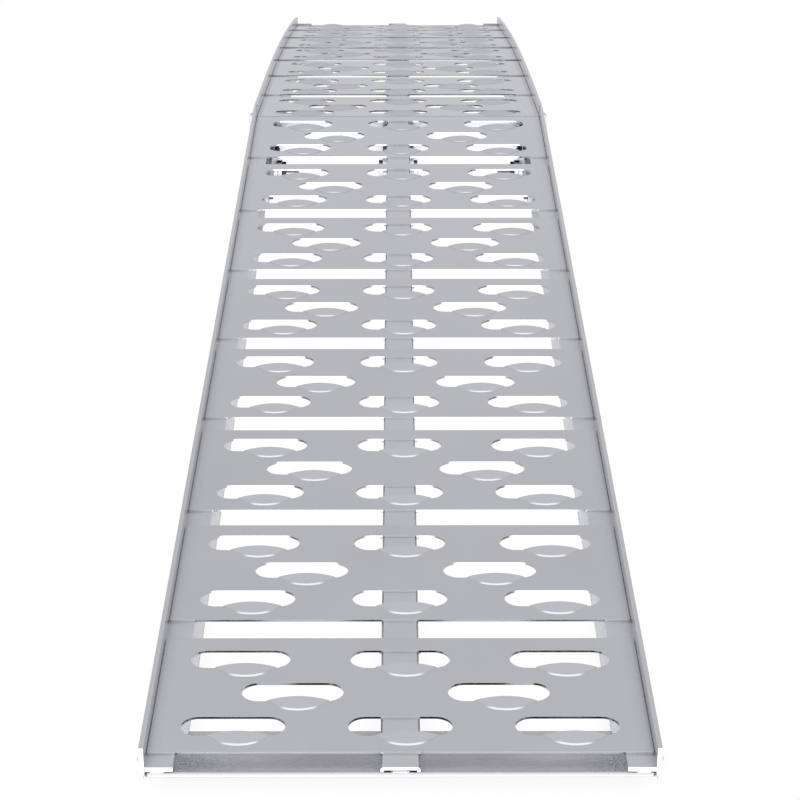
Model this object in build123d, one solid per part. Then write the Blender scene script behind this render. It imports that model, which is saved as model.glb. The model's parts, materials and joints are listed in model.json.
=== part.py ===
from build123d import *
import math
import os

# Folding loading ramp: a straight lower half and a gently arched upper half, joined by a
# hinge below their abutting end plates. Millimetres, +Z up, +Y up the ramp, +X to the right.
# The two halves are laid out from the lower half's own tread plane, then the whole ramp is
# set down on the floor on the heels of its two end plates.

os.makedirs("parts", exist_ok=True)

# Driving dimensions
CLEAR_WIDTH = 286.0          # between the two curbs
PITCH = 150.0                # from one tread to the next
TREAD_LEAD = 1.3             # a tread's near edge, from the start of its pitch
TREAD_LENGTH = 127.2
TREAD_THICK = 1.5
TREAD_CORNER = 0.5
TREAD_SIDE_GAP = 0.4         # between a tread's end and the curb
LOWER_TREADS = 8
UPPER_TREADS = 7
END_REACH = 12.1             # rails and spine beyond the treads' pitches

# Shape of the arch
KINK = 8.56                  # degrees, between the lower half and the start of the upper half
UPPER_LEAD = 196.0           # straight stretch of the upper half, from the hinge
ARCH_RADIUS = 11030.0        # of the rest of the upper half, at tread level

# Side rail: a web with a curb above it, an inward ledge for the treads and a bottom flange
WEB_THICK = 2.7
CURB_RISE = 11.0             # above the tread plane
LEDGE_WIDTH = 16.0
LEDGE_THICK = 2.8
RAIL_BOTTOM = -41.5          # from the tread plane
FLANGE_WIDTH = 16.0
BEAD_PROUD = 1.1             # rib along the outside of the web, at ledge level
BEAD_TOP = 4.0
BEAD_FOOT = -8.0

# Spine: a rectangular tube under the middle of the treads
SPINE_WIDTH = 22.5
SPINE_WALL = 2.0
SPINE_CORNER = 1.2

# Slots of a tread: rows of round-ended slots, each with a raised grip dome at its near edge
SLOT_LENGTH = 60.0
SLOT_DEPTH = 20.5
ROW_PLACES = (27.1, 64.5, 102.2)
OUTER_ROW_SLOTS = (-95.8, 0.0, 95.8)
MIDDLE_ROW_SLOTS = (-63.1, 57.9)
DOME_CHORD = 37.5
DOME_REACH = 10.3            # from the slot's edge to the dome's foot
DOME_RISE = 3.5
SHOULDER_RISE = 0.85         # height and width of the steep rim round a dome's foot
SHOULDER_WIDTH = 1.0
DOME_SHIFT = 3.6             # dome's centre, to the right of its slot's centre

# Sloping foot at each end: a plate under the rails, which are cut away to a thin tongue
FOOT_ANGLE = 20.0
TOP_ANGLE = 15.0
FOOT_THICK = 3.2
FOOT_SET_BACK = 0.8
FOOT_SIDE_GAP = 0.2
TONGUE_GAP = 0.3             # between the ledge and the foot plate, at the very tip
SKIRT_DEPTH = 5.5            # web below the foot plate's top, brought to a point

# Pads on the ledges and the spine at the top end, beyond the last tread
PAD_THICK = 3.5
PAD_LENGTH = 11.6
RAIL_PAD_WIDTH = 19.6
SPINE_PAD_WIDTH = 24.4
PAD_SIDE_GAP = 0.2           # between a pad and the curb
PAD_EDGE = 0.5

# End plates that abut at the hinge
HINGE_PLATE_THICK = 4.0
HINGE_PLATE_GAP = 0.3        # between the two plates
HINGE_PLATE_HALF_WIDTH = 150.5
HINGE_PLATE_BOTTOM = -44.6
HINGE_PLATE_TOP = -1.95
EAR_TOP = 3.0
EAR_CORNER = 4.0

# Hinge: straps beside the rails and the spine, with eyes on one axis under the end plates
PIN_DROP = 54.6              # of the hinge axis below the tread plane
EYE_RADIUS = 9.0
PIN_RADIUS = 4.0
PIN_CLEARANCE = 0.06
STRAP_THICK = 4.0
STRAP_SIDE_GAP = 0.3         # between a lower strap and the upper strap beside it
STRAP_TOP = -8.0             # at the hinge; straps taper to their free ends
STRAP_BOTTOM = -35.0
STRAP_TIP_WIDTH = 17.0
STRAP_END_GAP = 0.35         # between a strap and its end plate
NECK_WIDTH = 46.0            # of a strap, where it turns down to its eye
SIDE_STRAP_OUTER = 126.7     # outer face of the lower straps at the rails
LOWER_STRAP_LENGTH = 187.0
UPPER_STRAP_LENGTH = 130.0
SPINE_STRAP_LENGTH = 95.0
BOLT_HEIGHT = -20.0
LOWER_BOLTS = (178.0, 50.0)  # distances from the hinge
UPPER_BOLTS = (112.0, 45.0)
SPINE_BOLTS = (82.0, 52.0)   # on the upper half; the lower half's spine straps are welded on
BOLT_RADIUS = 3.0
BOLT_HOLE_RADIUS = 3.25
SPACER_RADIUS = 6.5

# Nuts and bolt heads
M6_FLATS = 10.0
M6_HEAD_HEIGHT = 4.0
M6_NUT_HEIGHT = 4.0
M6_THREAD_PROUD = 0.8
M8_FLATS = 13.0
M8_HEAD_HEIGHT = 5.3
M8_NUT_HEIGHT = 4.0
PIN_HEAD_WIDTH = 1.0         # of the spine pin's heads, beyond its shank
PIN_HEAD_HEIGHT = 0.8
FLAT_HEAD_RADIUS = 5.6
FLAT_HEAD_DEPTH = 2.2
SIDE_PIN_TIP = 101.5          # inner end of the hinge bolts at the rails
NUT_CLEARANCE = 0.05         # between a nut's bore and its bolt
NUT_SLACK = 0.2              # under the lock nuts of the hinge bolts

HALF = CLEAR_WIDTH / 2
WEB_OUTER = HALF + WEB_THICK
LEDGE_TOP = -TREAD_THICK
LEDGE_BOTTOM = LEDGE_TOP - LEDGE_THICK
LOWER_LENGTH = (LOWER_TREADS - 1) * PITCH + TREAD_LEAD + TREAD_LENGTH + 0.5
UPPER_LENGTH = (UPPER_TREADS - 1) * PITCH + TREAD_LEAD + TREAD_LENGTH + 0.5 + END_REACH
FACE_OFFSET = HINGE_PLATE_GAP / 2 + HINGE_PLATE_THICK
STRAP_END = FACE_OFFSET + STRAP_END_GAP
UPPER_STRAP_OUTER = SIDE_STRAP_OUTER - STRAP_THICK - STRAP_SIDE_GAP
SPINE_SIDE = SPINE_WIDTH / 2
UPPER_SPINE_STRAP = SPINE_SIDE + STRAP_THICK + STRAP_SIDE_GAP


def turn_x(degrees):
    """Turn about X: a positive angle raises the +Y end."""
    return Rot(degrees, 0, 0)


def along_arch(distance):
    """Frame on the upper half's tread plane, this far along it from the hinge."""
    straight = min(distance, UPPER_LEAD)
    angle = math.degrees((distance - straight) / ARCH_RADIUS)
    return UPPER * Pos(0, straight, -ARCH_RADIUS) * turn_x(-angle) * Pos(0, 0, ARCH_RADIUS)


# Frames, from the near edge of the first tread: the hinge's frame has its axis in X and its
# Y axis square to the end plates, half way between the directions of the two halves. SLANT
# turns a shape drawn square to the end plates on the -Y side into line with the lower half.
SLANT = turn_x(KINK / 2)
HINGE = Pos(0, LOWER_LENGTH, 0) * SLANT.inverse()
UPPER = HINGE * turn_x(-KINK / 2)
LOWER_TIP = Pos(0, -END_REACH, 0)
UPPER_TIP = along_arch(UPPER_LENGTH) * Rot(0, 0, 180)


def mirrored(shape):
    """The same shape on the other side of the ramp's middle plane."""
    return mirror(shape, about=Plane.YZ)


def section_face(points):
    """Closed outline in the plane across the ramp, from (x, z) points."""
    return make_face(Polyline([(x, 0, z) for x, z in points], close=True))


# Rails and spine

def rail_section():
    """Cross-section of the right-hand rail."""
    rib = WEB_OUTER + BEAD_PROUD
    flange_top = RAIL_BOTTOM + LEDGE_THICK
    return section_face([
        (HALF, CURB_RISE), (WEB_OUTER, CURB_RISE),
        (WEB_OUTER, BEAD_TOP), (rib, BEAD_TOP - 2.0),
        (rib, BEAD_FOOT + 2.0), (WEB_OUTER, BEAD_FOOT),
        (WEB_OUTER, RAIL_BOTTOM), (HALF - FLANGE_WIDTH, RAIL_BOTTOM),
        (HALF - FLANGE_WIDTH, flange_top), (HALF, flange_top),
        (HALF, LEDGE_BOTTOM), (HALF - LEDGE_WIDTH, LEDGE_BOTTOM),
        (HALF - LEDGE_WIDTH, LEDGE_TOP), (HALF, LEDGE_TOP),
    ])


def spine_section():
    """Cross-section of the spine's tube, with its outer corners broken."""
    height = LEDGE_TOP - RAIL_BOTTOM
    outer = Rectangle(SPINE_WIDTH, height)
    outer = chamfer(outer.vertices(), SPINE_CORNER)
    inner = Rectangle(SPINE_WIDTH - 2 * SPINE_WALL, height - 2 * SPINE_WALL)
    return Pos(0, 0, (LEDGE_TOP + RAIL_BOTTOM) / 2) * Rot(90, 0, 0) * (outer - inner)


def straight_beam(section):
    """Extrude a section along the lower half, up to its end plate."""
    length = END_REACH + LOWER_LENGTH + 10.0
    beam = extrude(Pos(0, -END_REACH, 0) * section, amount=length, dir=(0, 1, 0))
    past_plate = HINGE * Pos(0, 200.0 - FACE_OFFSET, 0) * Box(400, 400, 400)
    return beam - past_plate


def arched_beam(section):
    """Run a section along the upper half, straight and then bent, from its end plate to the tip."""
    lead = extrude(Pos(0, -10.0, 0) * section, amount=UPPER_LEAD + 10.0, dir=(0, 1, 0))
    bend_centre = Axis((0, UPPER_LEAD, -ARCH_RADIUS), (-1, 0, 0))
    angle = math.degrees((UPPER_LENGTH - UPPER_LEAD) / ARCH_RADIUS)
    bend = revolve(Pos(0, UPPER_LEAD, 0) * section, axis=bend_centre, revolution_arc=angle)
    before_plate = HINGE * Pos(0, FACE_OFFSET - 200.0, 0) * Box(400, 400, 400)
    return UPPER * (lead + bend) - before_plate


# Sloping ends

def bevel_frame(tip, angle):
    """Frame on the foot plate's top, with Y running back from the tip down the slope."""
    return tip * Pos(0, 0, LEDGE_BOTTOM - TONGUE_GAP) * turn_x(-angle)


def bevel_length(angle):
    """Length of the slope, from the tip to the bottom of the rails."""
    return (LEDGE_BOTTOM - TONGUE_GAP - RAIL_BOTTOM) / math.sin(math.radians(angle))


def bevel_waste(tip, angle):
    """What is cut off a rail or the spine to make its sloping end."""
    return bevel_frame(tip, angle) * Pos(0, 100.0, -50.0) * Box(400, 400, 100)


def web_skirt(tip, angle):
    """Pointed lower edge of the right-hand web beside the foot plate."""
    outline = section_face([
        (HALF, 0), (WEB_OUTER, 0), ((HALF + WEB_OUTER) / 2, -SKIRT_DEPTH),
    ])
    wedge = extrude(Pos(0, -20.0, 0) * outline, amount=bevel_length(angle) + 20.0, dir=(0, 1, 0))
    limits = tip * Pos(0, 150.0, RAIL_BOTTOM / 2) * Box(400, 300, -RAIL_BOTTOM)
    return (bevel_frame(tip, angle) * wedge) & limits


def foot_plate(tip, angle):
    """Plate that closes a sloping end."""
    width = 2 * (HALF - FOOT_SIDE_GAP)
    length = bevel_length(angle) - FOOT_SET_BACK
    plate = Box(width, length, FOOT_THICK)
    plate = fillet(plate.edges().filter_by(Axis.Z), 2.0)
    plate = fillet(plate.edges().filter_by(Axis.X).group_by(Axis.Y)[-1], 1.0)
    return bevel_frame(tip, angle) * Pos(0, FOOT_SET_BACK + length / 2, -FOOT_THICK / 2) * plate


def end_pad(middle, width):
    """Pad on a ledge or on the spine, just behind the tip, its middle this far to the right."""
    pad = Pos(middle, PAD_LENGTH / 2, LEDGE_TOP + PAD_THICK / 2) * Box(width, PAD_LENGTH, PAD_THICK)
    return chamfer(pad.edges().group_by(Axis.Z)[-1], PAD_EDGE)


# Treads

def dome_solid():
    """Low dome on a steep shoulder, its foot at z = 0, and the distance from its axis to its slot.

    A short root goes down into the sheet.
    """
    foot = (DOME_CHORD ** 2 / 4 + DOME_REACH ** 2) / (2 * DOME_REACH)
    back = foot - DOME_REACH
    rim = foot - SHOULDER_WIDTH
    drop = (rim ** 2 + SHOULDER_RISE ** 2 - back ** 2 - DOME_RISE ** 2) / 2
    depth = drop / (DOME_RISE - SHOULDER_RISE)
    ball = Pos(0, 0, -depth) * Sphere(math.hypot(rim, SHOULDER_RISE + depth))
    above = Pos(0, 0, SHOULDER_RISE + foot) * Box(3 * foot, 3 * foot, 2 * foot)
    shoulder = Pos(0, 0, SHOULDER_RISE / 2) * Cone(foot, rim, SHOULDER_RISE)
    root = Pos(0, 0, -TREAD_THICK / 4) * Cylinder(foot, TREAD_THICK / 2)
    return shoulder + (ball & above) + root, back


def tread():
    """One punched tread, with its near edge on the X axis and its top at z = 0."""
    width = CLEAR_WIDTH - 2 * TREAD_SIDE_GAP
    plate = Pos(0, TREAD_LENGTH / 2, -TREAD_THICK / 2) * Box(width, TREAD_LENGTH, TREAD_THICK)
    plate = fillet(plate.edges().filter_by(Axis.Z), TREAD_CORNER)
    rows = zip(ROW_PLACES, (OUTER_ROW_SLOTS, MIDDLE_ROW_SLOTS, OUTER_ROW_SLOTS))
    places = [(x, y) for y, slots in rows for x in slots]
    dome, back = dome_solid()
    hollow = Pos(0, 0, -TREAD_THICK) * dome
    shell = dome - hollow
    holes = Sketch() + [Pos(x, y) * SlotOverall(SLOT_LENGTH, SLOT_DEPTH) for x, y in places]
    plate -= extrude(Pos(0, 0, -TREAD_THICK) * holes, amount=2 * TREAD_THICK)
    front = Box(DOME_CHORD + 20.0, 30.0, 2 * DOME_RISE + TREAD_THICK)
    for x, y in places:
        edge = y - SLOT_DEPTH / 2
        centre = Pos(x + DOME_SHIFT, edge + back, 0)
        room = Pos(x + DOME_SHIFT, edge - 15.0, DOME_RISE - TREAD_THICK / 2) * front
        plate = plate - ((centre * hollow) & room) + ((centre * shell) & room)
    return plate


# Hinge

def end_plate():
    """End plate of one half, on the -Y side of the hinge frame."""
    ear_width = HINGE_PLATE_HALF_WIDTH - HALF
    height = HINGE_PLATE_TOP - HINGE_PLATE_BOTTOM
    main = Pos(0, 0, HINGE_PLATE_BOTTOM + height / 2) * Box(CLEAR_WIDTH, HINGE_PLATE_THICK, height)
    ear_height = EAR_TOP - HINGE_PLATE_BOTTOM
    ear = Pos(HALF + ear_width / 2, 0, HINGE_PLATE_BOTTOM + ear_height / 2) * Box(
        ear_width, HINGE_PLATE_THICK, ear_height)
    ear = fillet(ear.edges().filter_by(Axis.Y).group_by(Axis.X)[-1], EAR_CORNER)
    plate = main + ear + mirrored(ear)
    return Pos(0, -FACE_OFFSET + HINGE_PLATE_THICK / 2, 0) * plate


def plate_room():
    """Space that a strap leaves for the end plates and the other half, in its own plane."""
    reach = 60.0
    beside = Pos(reach / 2 - STRAP_END, reach / 2 + HINGE_PLATE_BOTTOM - 0.4) * Rectangle(reach, reach)
    beyond = Pos(reach / 2, -PIN_DROP) * Rectangle(reach, reach)
    return Rot(0, 0, -KINK / 2) * (beside + beyond)


def strap(outer_x, length, bolts):
    """Hinge strap on the -Y side, its outer face at outer_x, with an eye on the hinge axis."""
    lean = math.radians(KINK / 2)
    eye = Pos(-PIN_DROP * math.sin(lean), -PIN_DROP * math.cos(lean))
    tip_top = BOLT_HEIGHT + STRAP_TIP_WIDTH / 2
    outline = make_face(Polyline([
        (-length, tip_top), (-NECK_WIDTH, STRAP_TOP), (0, STRAP_TOP),
        (0, STRAP_BOTTOM), (-NECK_WIDTH, STRAP_BOTTOM), (-length, tip_top - STRAP_TIP_WIDTH),
    ], close=True))
    outline = fillet(outline.vertices().group_by(Axis.X)[0], 6.0)
    neck = make_face(Polyline([
        (-NECK_WIDTH, STRAP_BOTTOM), (0, STRAP_BOTTOM), (0, -PIN_DROP), (-EYE_RADIUS - 3.0, -PIN_DROP),
    ], close=True))
    outline = outline + neck - plate_room() + eye * Circle(EYE_RADIUS)
    outline -= eye * Circle(PIN_RADIUS + PIN_CLEARANCE)
    for bolt in bolts:
        outline -= Pos(-bolt, BOLT_HEIGHT) * Circle(BOLT_HOLE_RADIUS)
    across = Plane(origin=(outer_x, 0, 0), x_dir=(0, 1, 0), z_dir=(1, 0, 0))
    return SLANT * (across * extrude(outline, amount=-STRAP_THICK))


def bar_x(radius, x_from, x_to, y, z):
    """Round bar along X."""
    length = x_to - x_from
    return Pos((x_from + x_to) / 2, y, z) * Rot(0, 90, 0) * Cylinder(radius, length)


def hex_x(flats, x_from, x_to, y, z):
    """Hexagonal head along X, with its corners turned off."""
    length = x_to - x_from
    across_corners = flats / math.cos(math.pi / 6)
    prism = extrude(RegularPolygon(flats / 2, 6, major_radius=False), amount=length / 2, both=True)
    turned = chamfer(Cylinder(across_corners / 2, length).edges(), 0.6, 1.1)
    return Pos((x_from + x_to) / 2, y, z) * Rot(0, 90, 0) * (prism & turned)


def hinge_bolt(head_x, tip_x):
    """Hinge bolt with its head to the right of head_x and its shank to the left."""
    head = hex_x(M8_FLATS, head_x, head_x + M8_HEAD_HEIGHT, 0, -PIN_DROP)
    return head + bar_x(PIN_RADIUS, tip_x, head_x, 0, -PIN_DROP)


def spine_pin(face_x):
    """Pin through the straps at the spine, with a low head against each outer face."""
    head_radius = PIN_RADIUS + PIN_HEAD_WIDTH
    head = bar_x(head_radius, face_x, face_x + PIN_HEAD_HEIGHT, 0, -PIN_DROP)
    shank = bar_x(PIN_RADIUS, -face_x, face_x, 0, -PIN_DROP)
    return shank + head + mirrored(head)


def nut(flats, bolt_radius, x_from, x_to, y, z):
    """Lock nut on a bolt along X."""
    bore = bolt_radius + NUT_CLEARANCE
    return hex_x(flats, x_from, x_to, y, z) - bar_x(bore, x_from - 1, x_to + 1, y, z)


def hinge_nut(face_x):
    """Lock nut on a hinge bolt, to the left of face_x."""
    return nut(M8_FLATS, PIN_RADIUS, face_x - M8_NUT_HEIGHT, face_x, 0, -PIN_DROP)


def rail_bolt(tip_x, place):
    """Flat-headed bolt through the right-hand web, a spacer and a strap."""
    neck_x = WEB_OUTER - FLAT_HEAD_DEPTH
    cone = Pos((WEB_OUTER + neck_x) / 2, -place, BOLT_HEIGHT) * Rot(0, 90, 0) * Cone(
        BOLT_RADIUS, FLAT_HEAD_RADIUS, FLAT_HEAD_DEPTH)
    return cone + bar_x(BOLT_RADIUS, tip_x, neck_x, -place, BOLT_HEIGHT)


def countersink(place):
    """Hole for a flat-headed bolt in the right-hand web."""
    neck_x = WEB_OUTER - FLAT_HEAD_DEPTH
    gap = BOLT_HOLE_RADIUS - BOLT_RADIUS
    cone = Pos((WEB_OUTER + neck_x) / 2, -place, BOLT_HEIGHT) * Rot(0, 90, 0) * Cone(
        BOLT_HOLE_RADIUS, FLAT_HEAD_RADIUS + gap, FLAT_HEAD_DEPTH)
    return cone + bar_x(BOLT_HOLE_RADIUS, HALF - 1, neck_x, -place, BOLT_HEIGHT)


def spine_bolt(face_x, place):
    """Hex bolt right through the spine and its two straps."""
    head = hex_x(M6_FLATS, face_x, face_x + M6_HEAD_HEIGHT, -place, BOLT_HEIGHT)
    tip_x = -face_x - M6_NUT_HEIGHT - M6_THREAD_PROUD
    return head + bar_x(BOLT_RADIUS, tip_x, face_x, -place, BOLT_HEIGHT)


def spine_holes():
    """Bolt holes across the spine."""
    return group([bar_x(BOLT_HOLE_RADIUS, -SPINE_WIDTH, SPINE_WIDTH, -place, BOLT_HEIGHT)
                  for place in SPINE_BOLTS])


def spacer(x_from, x_to, place):
    """Sleeve round a bolt, between a strap and the part it is bolted to."""
    sleeve = bar_x(SPACER_RADIUS, x_from, x_to, -place, BOLT_HEIGHT)
    return sleeve - bar_x(BOLT_HOLE_RADIUS, x_from - 1, x_to + 1, -place, BOLT_HEIGHT)


def to_upper(shape):
    """Carry a shape from the lower side of the hinge frame to the upper side."""
    return mirror(shape, about=Plane.XZ)


def unmoved(shape):
    """Leave a shape on the lower side of the hinge frame."""
    return shape


def group(shapes):
    """Separate solids kept in one node."""
    return Compound(children=[solid for shape in shapes for solid in shape.solids()])


parts = {}

# Lower half
lower_waste = bevel_waste(LOWER_TIP, FOOT_ANGLE)
lower_rail = straight_beam(rail_section()) - lower_waste + web_skirt(LOWER_TIP, FOOT_ANGLE)
lower_rail -= HINGE * SLANT * group([countersink(place) for place in LOWER_BOLTS])
parts["lower_rail_right"] = lower_rail
parts["lower_rail_left"] = mirrored(lower_rail)
parts["lower_spine"] = straight_beam(spine_section()) - lower_waste
one_tread = tread()
for index in range(LOWER_TREADS):
    parts[f"lower_tread_{index + 1}"] = Pos(0, index * PITCH + TREAD_LEAD, 0) * one_tread
parts["foot_plate"] = foot_plate(LOWER_TIP, FOOT_ANGLE)
parts["lower_hinge_plate"] = HINGE * end_plate()

# Upper half
upper_waste = bevel_waste(UPPER_TIP, TOP_ANGLE)
upper_skirt = mirrored(web_skirt(LOWER_TIP, TOP_ANGLE))
upper_rail = arched_beam(rail_section()) - upper_waste
upper_rail += UPPER_TIP * LOWER_TIP.inverse() * upper_skirt
upper_rail -= HINGE * to_upper(SLANT * group([countersink(place) for place in UPPER_BOLTS]))
parts["upper_rail_right"] = upper_rail
parts["upper_rail_left"] = mirrored(upper_rail)
upper_spine = arched_beam(spine_section()) - upper_waste
upper_spine -= HINGE * to_upper(SLANT * spine_holes())
parts["upper_spine"] = upper_spine
for index in range(UPPER_TREADS):
    middle = 0.5 + index * PITCH + TREAD_LEAD + TREAD_LENGTH / 2
    parts[f"upper_tread_{index + 1}"] = along_arch(middle) * Pos(0, -TREAD_LENGTH / 2, 0) * one_tread
parts["top_plate"] = foot_plate(UPPER_TIP, TOP_ANGLE)
rail_pad = end_pad(HALF - PAD_SIDE_GAP - RAIL_PAD_WIDTH / 2, RAIL_PAD_WIDTH)
pads = group([rail_pad, mirrored(rail_pad), end_pad(0, SPINE_PAD_WIDTH)])
parts["top_end_pads"] = UPPER_TIP * pads
parts["upper_hinge_plate"] = HINGE * to_upper(end_plate())

# Straps, and the bolts, nuts and spacers that hold them, on both halves
for half, rail_places, spine_places, strap_face, cheek_face, length in (
    ("lower", LOWER_BOLTS, (), SIDE_STRAP_OUTER, SPINE_SIDE + STRAP_THICK, LOWER_STRAP_LENGTH),
    ("upper", UPPER_BOLTS, SPINE_BOLTS, UPPER_STRAP_OUTER, UPPER_SPINE_STRAP + STRAP_THICK,
     UPPER_STRAP_LENGTH),
):
    settle = to_upper if half == "upper" else unmoved
    side_strap = settle(strap(strap_face, length, rail_places))
    cheek = settle(strap(cheek_face, SPINE_STRAP_LENGTH, spine_places))
    parts[f"{half}_strap_right"] = HINGE * side_strap
    parts[f"{half}_strap_left"] = HINGE * mirrored(side_strap)
    parts[f"{half}_spine_straps"] = HINGE * group([cheek, mirrored(cheek)])
    bolts, nuts, spacers = [], [], []
    nut_face = strap_face - STRAP_THICK
    for place in rail_places:
        bolt = rail_bolt(nut_face - M6_NUT_HEIGHT - M6_THREAD_PROUD, place)
        lock = nut(M6_FLATS, BOLT_RADIUS, nut_face - M6_NUT_HEIGHT, nut_face, -place, BOLT_HEIGHT)
        sleeve = spacer(strap_face, HALF, place)
        for found, shape in ((bolts, bolt), (nuts, lock), (spacers, sleeve)):
            found += [shape, mirrored(shape)]
    for place in spine_places:
        bolts.append(spine_bolt(cheek_face, place))
        nuts.append(nut(M6_FLATS, BOLT_RADIUS, -cheek_face - M6_NUT_HEIGHT, -cheek_face, -place,
                        BOLT_HEIGHT))
        sleeve = spacer(SPINE_SIDE, UPPER_SPINE_STRAP, place)
        spacers += [sleeve, mirrored(sleeve)]
    for kind, shapes in (("bolts", bolts), ("nuts", nuts), ("spacers", spacers)):
        parts[f"{half}_strap_{kind}"] = HINGE * settle(SLANT * group(shapes))

# Hinge bolts and their lock nuts at the rails, and a headed pin at the spine
side_bolt = hinge_bolt(SIDE_STRAP_OUTER, SIDE_PIN_TIP)
parts["hinge_bolt_right"] = HINGE * side_bolt
parts["hinge_bolt_left"] = HINGE * mirrored(side_bolt)
parts["hinge_pin_centre"] = HINGE * spine_pin(UPPER_SPINE_STRAP + STRAP_THICK)
side_nut = hinge_nut(UPPER_STRAP_OUTER - STRAP_THICK - NUT_SLACK)
parts["hinge_nuts"] = HINGE * group([side_nut, mirrored(side_nut)])


# Set the ramp down on the heels of its two end plates, with the origin under its middle

def heel(tip, angle):
    """Lowest edge of a sloping end's plate."""
    return (bevel_frame(tip, angle) * Pos(0, bevel_length(angle), -FOOT_THICK)).position


low_heel = heel(LOWER_TIP, FOOT_ANGLE)
top_heel = heel(UPPER_TIP, TOP_ANGLE)
level = -math.degrees(math.atan2(top_heel.Z - low_heel.Z, top_heel.Y - low_heel.Y))
levelled = {name: turn_x(level) * shape for name, shape in parts.items()}
box = Compound(children=list(levelled.values())).bounding_box()
STAND = Pos(0, -(box.min.Y + box.max.Y) / 2, -box.min.Z) * turn_x(level)

for name, shape in parts.items():
    export_step(STAND * shape, f"parts/{name}.step")

pin = (STAND * HINGE * Pos(0, 0, -PIN_DROP)).position
print(f"lower half climbs {level:.3f} degrees; hinge axis at y {pin.Y:.3f}, z {pin.Z:.3f}")
for label, tip, angle in (("foot", LOWER_TIP, FOOT_ANGLE), ("top", UPPER_TIP, TOP_ANGLE)):
    under = STAND * bevel_frame(tip, angle) * Pos(0, bevel_length(angle) / 2, -FOOT_THICK)
    down = (under * Pos(0, 0, -1)).position - under.position
    print(f"{label} plate's underside: {under.position}, facing {down}")
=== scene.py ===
import bpy
import bmesh
import json
import math
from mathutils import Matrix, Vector, noise


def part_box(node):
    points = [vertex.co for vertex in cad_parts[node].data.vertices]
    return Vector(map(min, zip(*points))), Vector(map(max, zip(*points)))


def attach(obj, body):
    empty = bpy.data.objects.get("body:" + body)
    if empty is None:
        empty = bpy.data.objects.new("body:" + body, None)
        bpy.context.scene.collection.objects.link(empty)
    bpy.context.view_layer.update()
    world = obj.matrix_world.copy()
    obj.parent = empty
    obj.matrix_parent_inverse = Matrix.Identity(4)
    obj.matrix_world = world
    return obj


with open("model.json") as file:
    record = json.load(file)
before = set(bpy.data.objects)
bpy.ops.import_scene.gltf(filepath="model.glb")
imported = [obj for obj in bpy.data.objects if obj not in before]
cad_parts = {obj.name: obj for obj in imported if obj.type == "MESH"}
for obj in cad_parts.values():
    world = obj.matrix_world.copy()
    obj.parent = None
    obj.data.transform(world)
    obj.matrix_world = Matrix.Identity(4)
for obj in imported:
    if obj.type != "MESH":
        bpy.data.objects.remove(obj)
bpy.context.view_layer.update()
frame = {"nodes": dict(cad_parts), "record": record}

LOWER_TREADS = 8
UPPER_TREADS = 7


# ---------------------------------------------------------------- node helpers

# Sockets of a Mix node that mixes colours
MIX_FACTOR, MIX_FIRST, MIX_SECOND, MIX_RESULT = 0, 6, 7, 2


class Nodes:
    """A node tree, with short calls to add and join nodes."""

    def __init__(self, tree):
        self.tree = tree

    def add(self, kind, inputs=None, **settings):
        """Add a node, set its properties, and set or link its inputs."""
        node = self.tree.nodes.new(kind)
        for key, value in settings.items():
            setattr(node, key, value)
        for key, value in (inputs or {}).items():
            self.put(node.inputs[key], value)
        return node

    def put(self, socket, value):
        if isinstance(value, bpy.types.NodeSocket):
            self.tree.links.new(value, socket)
        else:
            socket.default_value = value

    def remap(self, value, low, high, new_low, new_high, smooth=False):
        inputs = {"Value": value, "From Min": low, "From Max": high, "To Min": new_low,
                  "To Max": new_high}
        kind = "SMOOTHSTEP" if smooth else "LINEAR"
        return self.add("ShaderNodeMapRange", inputs, interpolation_type=kind).outputs["Result"]

    def math(self, operation, first, second=0.0):
        return self.add("ShaderNodeMath", {0: first, 1: second}, operation=operation).outputs[0]

    def mix(self, factor, first, second, blend="MIX"):
        inputs = {MIX_FACTOR: factor, MIX_FIRST: first, MIX_SECOND: second}
        node = self.add("ShaderNodeMix", inputs, data_type="RGBA", blend_type=blend)
        return node.outputs[MIX_RESULT]


class MaterialNodes(Nodes):
    """The nodes of a new material, placed by object coordinates."""

    def __init__(self, name):
        self.material = bpy.data.materials.new(name)
        self.material.use_nodes = True
        super().__init__(self.material.node_tree)
        self.shader = self.tree.nodes["Principled BSDF"]
        self.place = self.add("ShaderNodeTexCoord").outputs["Object"]

    def noise(self, scale, detail, roughness=0.5):
        """Noise, stretched by axis: the larger the scale, the finer it is that way."""
        place = self.add("ShaderNodeMapping", {"Vector": self.place, "Scale": scale}).outputs[0]
        inputs = {"Vector": place, "Scale": 1.0, "Detail": detail, "Roughness": roughness}
        return self.add("ShaderNodeTexNoise", inputs).outputs["Fac"]

    def bump(self, height, distance, normal):
        inputs = {"Height": height, "Distance": distance, "Strength": 1.0, "Normal": normal}
        return self.add("ShaderNodeBump", inputs).outputs["Normal"]

    def open_share(self, distance, samples):
        """Share of the directions that are clear for a distance: 1 on a bare face."""
        inputs = {"Distance": distance}
        return self.add("ShaderNodeAmbientOcclusion", inputs, samples=samples).outputs["AO"]

    def corners(self, radius, flat, worn):
        """Normal with the corners rounded off, and wear from 0 on a face to 1 on a corner.

        flat and worn are the cosines between the rounded and the true normal at 0 and at 1.
        """
        rounded = self.add("ShaderNodeBevel", {"Radius": radius}, samples=4).outputs[0]
        face = self.add("ShaderNodeNewGeometry").outputs["Normal"]
        turn = self.add("ShaderNodeVectorMath", {0: rounded, 1: face}, operation="DOT_PRODUCT")
        return rounded, self.remap(turn.outputs["Value"], flat, worn, 0.0, 1.0)


def shaded(color, level):
    return (*[channel * level for channel in color], 1.0)


# ---------------------------------------------------------------- materials

NOISE_SPAN = (0.3, 0.7)            # most of a noise lies between these values
NARROW_SPAN = (0.35, 0.65)

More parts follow.
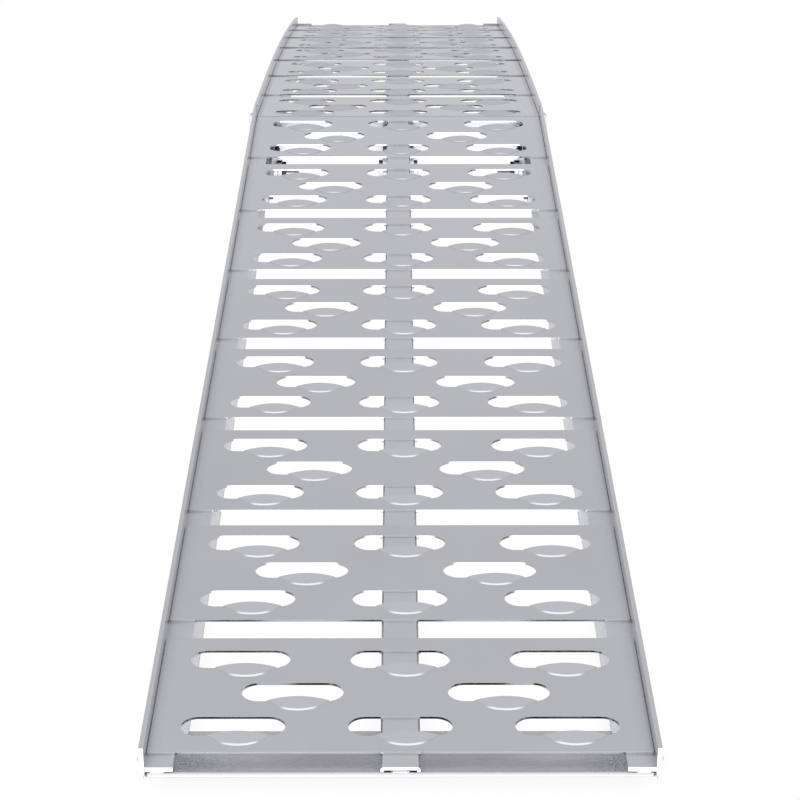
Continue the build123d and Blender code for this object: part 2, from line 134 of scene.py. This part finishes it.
# Aluminium. Tones are shares of the material's own colour.
SMUDGE_SCALE = (9.0, 5.0, 9.0)
SMUDGE_TONES = (0.972, 1.02)
SMUDGE_DULLING = 0.035             # how far smudges shift the roughness either way
GRAIN_TONE, GRAIN_SHARE = 0.955, 0.35
GRAIN_DULLING = 0.03
WEAR_TONE, WEAR_SHARE = 1.12, 0.5
WEAR_POLISH = 0.08                 # roughness that wear takes off
CREVICE_SHADE_SPAN = (0.30, 0.85)        # open share where the painted shade is darkest, and where it ends on an open face
SPECK_SCALE = (420.0, 420.0, 420.0)
SPECK_DEPTH = 0.5                  # share of the grain's depth

# Black zinc on steel
MOTTLE_SCALE = (700.0, 700.0, 700.0)
MOTTLE_TONES = (0.7, 1.35)
MOTTLE_DULLING = 0.07
MOTTLE_DEPTH = 0.00003
BARE_STEEL = (0.45, 0.45, 0.46, 1.0)


def aluminium(name, color, roughness, grain_scale, grain_depth, crevice_shade=0.30, reach=0.012):
    """Satin aluminium: rolling or drawing lines, faint smudges, painted shade in hollows, bright
    corners.

    crevice is how much painted shade darkens a deep corner, and reach is how far from the corner it
    does so.
    """
    n = MaterialNodes(name)
    n.put(n.shader.inputs["Metallic"], 1.0)
    grain = n.noise(grain_scale, 3.0)
    smudge = n.noise(SMUDGE_SCALE, 3.0, roughness=0.6)
    speck = n.noise(SPECK_SCALE, 1.0)
    rounded, wear = n.corners(0.0003, 0.985, 0.80)
    # Painted shade: the colour darkens where ambient occlusion finds surfaces close by
    shade = n.remap(n.open_share(reach, 6), *CREVICE_SHADE_SPAN, 1.0 - crevice_shade, 1.0)

    smudged = n.remap(smudge, *NOISE_SPAN, 0.0, 1.0)
    tone = n.mix(smudged, *[shaded(color, level) for level in SMUDGE_TONES])
    grained = n.remap(grain, *NARROW_SPAN, 0.0, GRAIN_SHARE)
    tone = n.mix(grained, tone, shaded(color, GRAIN_TONE))
    tone = n.mix(n.math("MULTIPLY", wear, WEAR_SHARE), tone, shaded(color, WEAR_TONE))
    # Grey of the painted shade, multiplied into the colour
    grey = n.add("ShaderNodeCombineXYZ", {0: shade, 1: shade, 2: shade}).outputs[0]
    n.put(n.shader.inputs["Base Color"], n.mix(1.0, tone, grey, blend="MULTIPLY"))

    rough = n.remap(smudge, *NOISE_SPAN, roughness - SMUDGE_DULLING, roughness + SMUDGE_DULLING)
    rough = n.math("ADD", rough, n.remap(grain, *NOISE_SPAN, -GRAIN_DULLING, GRAIN_DULLING))
    rough = n.math("SUBTRACT", rough, n.math("MULTIPLY", wear, WEAR_POLISH))
    n.put(n.shader.inputs["Roughness"], rough)

    relief = n.bump(grain, grain_depth, rounded)
    n.put(n.shader.inputs["Normal"], n.bump(speck, grain_depth * SPECK_DEPTH, relief))
    return n.material


def dark_steel(name, color, roughness):
    """Black zinc on steel: a fine mottle, with bare metal on the worn corners."""
    n = MaterialNodes(name)
    n.put(n.shader.inputs["Metallic"], 0.85)
    mottle = n.noise(MOTTLE_SCALE, 3.0)
    rounded, wear = n.corners(0.0004, 0.98, 0.85)
    mottled = n.remap(mottle, *NARROW_SPAN, 0.0, 1.0)
    tone = n.mix(mottled, *[shaded(color, level) for level in MOTTLE_TONES])
    tone = n.mix(n.math("MULTIPLY", wear, mottle), tone, BARE_STEEL)
    n.put(n.shader.inputs["Base Color"], tone)
    rough = n.remap(mottle, *NOISE_SPAN, roughness - MOTTLE_DULLING, roughness + MOTTLE_DULLING)
    n.put(n.shader.inputs["Roughness"], rough)
    n.put(n.shader.inputs["Normal"], n.bump(mottle, MOTTLE_DEPTH, rounded))
    return n.material


# Grain runs along the ramp on treads, rails and straps, and across it on plates and sleeves
MATERIALS = {
    "tread_sheet": aluminium(
        "tread_sheet", (0.760, 0.767, 0.795), 0.13, (900.0, 14.0, 900.0), 0.000006),
    "rail_extrusion": aluminium(
        "rail_extrusion", (0.785, 0.79, 0.812), 0.20, (900.0, 5.0, 900.0), 0.000008, reach=0.016),
    "end_plate": aluminium(
        "end_plate", (0.60, 0.605, 0.635), 0.24, (22.0, 700.0, 700.0), 0.0000006,
        # Deeper, wider painted shade on the end plates
        crevice_shade=0.42, reach=0.03),
    "strap_plate": aluminium(
        "strap_plate", (0.56, 0.565, 0.58), 0.32, (500.0, 30.0, 500.0), 0.000014),
    "spacer_sleeve": aluminium(
        "spacer_sleeve", (0.72, 0.72, 0.73), 0.25, (30.0, 800.0, 800.0), 0.00001),
    "dark_bolt": dark_steel("dark_bolt", (0.15, 0.15, 0.16), 0.38),
    "dark_nut": dark_steel("dark_nut", (0.045, 0.045, 0.05), 0.42),
}

for part in frame["record"]["subparts"]:
    mesh = frame["nodes"][part["node"]].data
    mesh.materials.clear()
    mesh.materials.append(MATERIALS[part["material_slot"]])


# ---------------------------------------------------------------- weld beads

BEAD_LENGTH = 0.012
BEAD_RADIUS = 0.0016
RIPPLE_PITCH = 0.0015
RIPPLE_HEIGHT = 0.09         # share of the radius
WOBBLE_HEIGHT = 0.10         # share of the radius
RINGS_PER_RIPPLE = 4
RING_POINTS = 10
LEDGE_INNER = 0.127          # from the middle of the ramp to the ledges' inner edges
LEDGE_MIDDLE = 0.1362
SPINE_HALF = 0.01125

# A tread's beads, from its bottom corner: out over the ledge's edge, down, and in from its end
BEAD_OUT = 0.0003
BEAD_DROP = 0.0009
BEAD_INSET = 0.0015

# Beads across a tip: the middle of each and its half length, across the ramp
END_BEADS = ((-LEDGE_MIDDLE, 0.0046), (0.0, 0.0055), (LEDGE_MIDDLE, 0.0046))
END_BEAD_RADIUS = 0.0011


def add_bead(bm, start, end, out, radius):
    """A rippled weld bead from start to end, rounded off at both ends."""
    run = end - start
    side = run.normalized().cross(out)
    rings = max(8, int(run.length / RIPPLE_PITCH * RINGS_PER_RIPPLE))
    before = None
    for index in range(rings + 1):
        part = index / rings
        taper = math.sqrt(max(0.0, 1 - abs(2 * part - 1) ** 6))
        ripple = 1 + RIPPLE_HEIGHT * math.cos(2 * math.pi * index / RINGS_PER_RIPPLE)
        wobble = 1 + WOBBLE_HEIGHT * noise.noise(start * 400 + run * part * 900)
        size = max(0.02, taper) * ripple * wobble * radius
        centre = start + run * part
        ring = []
        for point in range(RING_POINTS):
            turn = 2 * math.pi * point / RING_POINTS
            ring.append(bm.verts.new(centre + size * (math.cos(turn) * out + math.sin(turn) * side)))
        if before:
            for point in range(RING_POINTS):
                after = (point + 1) % RING_POINTS
                bm.faces.new((before[point], before[after], ring[after], ring[point]))
        else:
            bm.faces.new(ring)
        before = ring
    bm.faces.new(list(reversed(before)))


def tread_edge(node):
    """Near and far bottom corners of a tread's right-hand side, from its mesh."""
    points = [v.co for v in frame["nodes"][node].data.vertices]
    widest = max(p.x for p in points)
    side = [p for p in points if p.x > widest - 1e-5]
    nearest, farthest = min(p.y for p in side), max(p.y for p in side)
    near = min((p for p in side if p.y < nearest + 0.001), key=lambda p: p.z)
    far = min((p for p in side if p.y > farthest - 0.001), key=lambda p: p.z)
    return near, far


def finish_beads(name, bm, body):
    """Turn the beads into one smooth piece that rides on its half."""
    bmesh.ops.recalc_face_normals(bm, faces=bm.faces)
    mesh = bpy.data.meshes.new(name)
    bm.to_mesh(mesh)
    bm.free()
    mesh.shade_smooth()
    mesh.materials.append(MATERIALS["rail_extrusion"])
    piece = bpy.data.objects.new(name, mesh)
    bpy.context.scene.collection.objects.link(piece)
    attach(piece, body)


def add_tread_welds(body, half, treads):
    """Short beads under both ends of every tread, along the ledges' and spine's top corners."""
    bm = bmesh.new()
    for index in range(treads):
        near, far = tread_edge(f"{half}_tread_{index + 1}")
        along = (far - near).normalized()
        down = Vector((0, along.z, -along.y))
        for x, inward in ((LEDGE_INNER, -1), (SPINE_HALF, 1)):
            for mirrored in (-1, 1):
                across = Vector((mirrored * inward, 0, 0))
                out = (across + down).normalized()
                for corner, sign in ((near, 1), (far, -1)):
                    place = Vector((mirrored * x, corner.y, corner.z))
                    start = place + BEAD_OUT * across + BEAD_DROP * down + sign * BEAD_INSET * along
                    add_bead(bm, start, start + sign * BEAD_LENGTH * along, out, BEAD_RADIUS)
    finish_beads(f"{half}_tread_welds", bm, body)


def add_end_welds(body, half, plate, sign):
    """Beads across the tip, where the ledges and the spine meet the sloping end plate."""
    points = [v.co for v in frame["nodes"][plate].data.vertices]
    tip = max(p.y * sign for p in points)
    edge = max((p for p in points if p.y * sign > tip - 0.004), key=lambda p: p.z)
    bm = bmesh.new()
    for middle, reach in END_BEADS:
        start = Vector((middle - reach, edge.y, edge.z))
        end = start + Vector((2 * reach, 0, 0))
        add_bead(bm, start, end, Vector((0, sign, 0)), END_BEAD_RADIUS)
    finish_beads(f"{half}_end_welds", bm, body)


add_tread_welds("lower_half", "lower", LOWER_TREADS)
add_tread_welds("upper_half", "upper", UPPER_TREADS)
add_end_welds("lower_half", "lower", "foot_plate", -1)
add_end_welds("upper_half", "upper", "top_plate", 1)


# ---------------------------------------------------------------- camera

SENSOR_WIDTH = 36.0
FOCAL_TO_WIDTH = 2382 / 800
TREAD_VIEW_ANGLE = math.radians(24.33)
CAMERA_HEIGHT = 0.732        # above the plane of the lower treads
FIRST_SEAM_DEPTH = 1.338     # along the camera's axis, to the first tread's near edge
CAMERA_SIDE = -0.0024
CAMERA_YAW = math.radians(-0.103)
TREAD_THICK = 0.0015
TREAD_LEAD = 0.0013          # the first tread's near edge, from the start of the treads' pitch


def add_camera():
    """Camera past the near end, placed by the lower treads' plane and the nearest tread's edge."""
    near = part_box("lower_tread_1")[0]
    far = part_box(f"lower_tread_{LOWER_TREADS}")[0]
    slope = math.atan2(far.z - near.z, far.y - near.y)
    along = Vector((0, math.cos(slope), math.sin(slope)))
    up = Vector((0, -math.sin(slope), math.cos(slope)))
    corner = Vector((0, near.y + TREAD_THICK * math.sin(slope), near.z + TREAD_THICK * up.z))
    edge = corner - TREAD_LEAD * along
    run = FIRST_SEAM_DEPTH - CAMERA_HEIGHT * math.sin(TREAD_VIEW_ANGLE)
    back = run / math.cos(TREAD_VIEW_ANGLE)
    data = bpy.data.cameras.new("camera")
    data.sensor_width = SENSOR_WIDTH
    data.lens = SENSOR_WIDTH * FOCAL_TO_WIDTH
    data.clip_end = 100
    camera = bpy.data.objects.new("camera", data)
    bpy.context.scene.collection.objects.link(camera)
    camera.location = edge - along * back + up * CAMERA_HEIGHT + Vector((CAMERA_SIDE, 0, 0))
    camera.rotation_euler = (math.pi / 2 - (TREAD_VIEW_ANGLE - slope), 0, CAMERA_YAW)
    bpy.context.scene.camera = camera


# ---------------------------------------------------------------- studio

# Brightness of the studio by angle over the object, from the far horizon (0) through overhead
# (90) to the near horizon (180), and on round below it
STUDIO = (
    (0, 0.625), (8, 0.65), (20, 0.70), (27, 0.60), (33, 0.58), (39, 0.625), (50, 0.655),
    (100, 0.68), (106, 1.25), (122, 1.22), (140, 0.95), (172, 0.95), (184, 2.10), (240, 1.75),
    (290, 0.72), (345, 0.63), (360, 0.625),
)
STUDIO_TINT = (1, 1.003, 1.03)
SIDE_LEVEL = 0.60            # brightness towards either side
SIDE_SPAN = (0.40, 0.65)     # sideways share of a direction where the side level comes in

FLOOR_REACH = 6.0
# Painted contact shadow on the floor, where the ramp is close above it
CONTACT_SHADOW_GREY = (0.62, 0.63, 0.65, 1)
CONTACT_SHADOW_REACH = 0.02
CONTACT_SHADOW_SPAN = (0.95, 0.2)   # open share where the grey starts, and where it is full
CONTACT_SHADOW_VEIL = 0.28

LEDGE_WIDTH = 0.016
LEDGE_LIGHT_DROP = 0.004     # below the underside of the treads
LEDGE_LIGHT_LEVEL = 0.50


def add_world():
    """Studio in soft bands for the metal to reflect, behind which the camera sees white."""
    world = bpy.data.worlds.new("studio")
    bpy.context.scene.world = world
    world.use_nodes = True
    n = Nodes(world.node_tree)
    direction = n.add("ShaderNodeTexCoord").outputs["Generated"]
    ray = n.add("ShaderNodeSeparateXYZ", {0: direction}).outputs
    angle = n.math("ARCTAN2", ray["Z"], ray["Y"])
    turn = n.math("FRACT", n.math("ADD", n.math("DIVIDE", angle, 2 * math.pi), 1.0))
    ramp = n.add("ShaderNodeValToRGB", {"Fac": turn})
    bands = ramp.color_ramp.elements
    while len(bands) < len(STUDIO):
        bands.new(0.5)
    for band, (degrees, level) in zip(bands, STUDIO):
        band.position = degrees / 360
        band.color = shaded(STUDIO_TINT, level)
    sideways = n.remap(n.math("ABSOLUTE", ray["X"]), *SIDE_SPAN, 0.0, 1.0, smooth=True)
    side_color = (SIDE_LEVEL, SIDE_LEVEL, SIDE_LEVEL, 1)
    studio = n.mix(sideways, ramp.outputs["Color"], side_color)
    camera_ray = n.add("ShaderNodeLightPath").outputs["Is Camera Ray"]
    background = n.tree.nodes["Background"]
    n.put(background.inputs["Color"], n.mix(camera_ray, studio, (1, 1, 1, 1)))
    n.put(background.inputs["Strength"], 1.0)
    bpy.context.scene.view_settings.view_transform = "Standard"


def add_floor():
    """White floor that lets the white studio through, with a soft grey shadow painted where the ramp
    touches it.
    """
    mesh = bpy.data.meshes.new("floor")
    r = FLOOR_REACH
    mesh.from_pydata([(-r, -r, 0), (r, -r, 0), (r, r, 0), (-r, r, 0)], [], [(0, 1, 2, 3)])
    floor = bpy.data.objects.new("floor", mesh)
    bpy.context.scene.collection.objects.link(floor)
    n = MaterialNodes("floor")
    clear = n.add("ShaderNodeBsdfTransparent").outputs[0]
    # Painted shadow: a grey glow, faded in by ambient occlusion and seen only by the camera
    grey = n.add("ShaderNodeEmission", {"Color": CONTACT_SHADOW_GREY, "Strength": 1.0}).outputs[0]
    painted_shadow = n.remap(n.open_share(CONTACT_SHADOW_REACH, 8), *CONTACT_SHADOW_SPAN, 0.0, CONTACT_SHADOW_VEIL)
    seen = n.math("MULTIPLY", painted_shadow, n.add("ShaderNodeLightPath").outputs["Is Camera Ray"])
    blend = n.add("ShaderNodeMixShader", {0: seen, 1: clear, 2: grey})
    n.put(n.tree.nodes["Material Output"].inputs["Surface"], blend.outputs[0])
    mesh.materials.append(n.material)


def add_strip_light(name, low, high):
    """Thin soft light tucked under a ledge, shining down on the flange below it."""
    length = (high - low).length
    data = bpy.data.lights.new(name, "AREA")
    data.shape = "RECTANGLE"
    data.size, data.size_y = LEDGE_WIDTH, length
    data.energy = LEDGE_LIGHT_LEVEL * math.pi * LEDGE_WIDTH * length
    lamp = bpy.data.objects.new(name, data)
    bpy.context.scene.collection.objects.link(lamp)
    lamp.visible_camera = False
    lamp.location = (low + high) / 2 - Vector((0, 0, LEDGE_LIGHT_DROP))
    lamp.rotation_euler = (math.atan2(high.z - low.z, high.y - low.y), 0, 0)


def add_ledge_lights(name, first, last):
    """Light both flanges where they show in the slots and gaps, from one tread to another."""
    near, far = tread_edge(first)[0], tread_edge(last)[1]
    for side, hand in ((-1, "left"), (1, "right")):
        x = side * (near.x - LEDGE_WIDTH / 2)
        low, high = Vector((x, near.y, near.z)), Vector((x, far.y, far.z))
        add_strip_light(f"{name}_ledge_light_{hand}", low, high)


add_camera()
add_world()
add_floor()

# The lower half is straight, so one strip does for each side of it. The upper half is arched, so
# each of its treads has its own.
add_ledge_lights("lower", "lower_tread_1", f"lower_tread_{LOWER_TREADS}")
for index in range(1, UPPER_TREADS + 1):
    add_ledge_lights(f"upper_{index}", f"upper_tread_{index}", f"upper_tread_{index}")
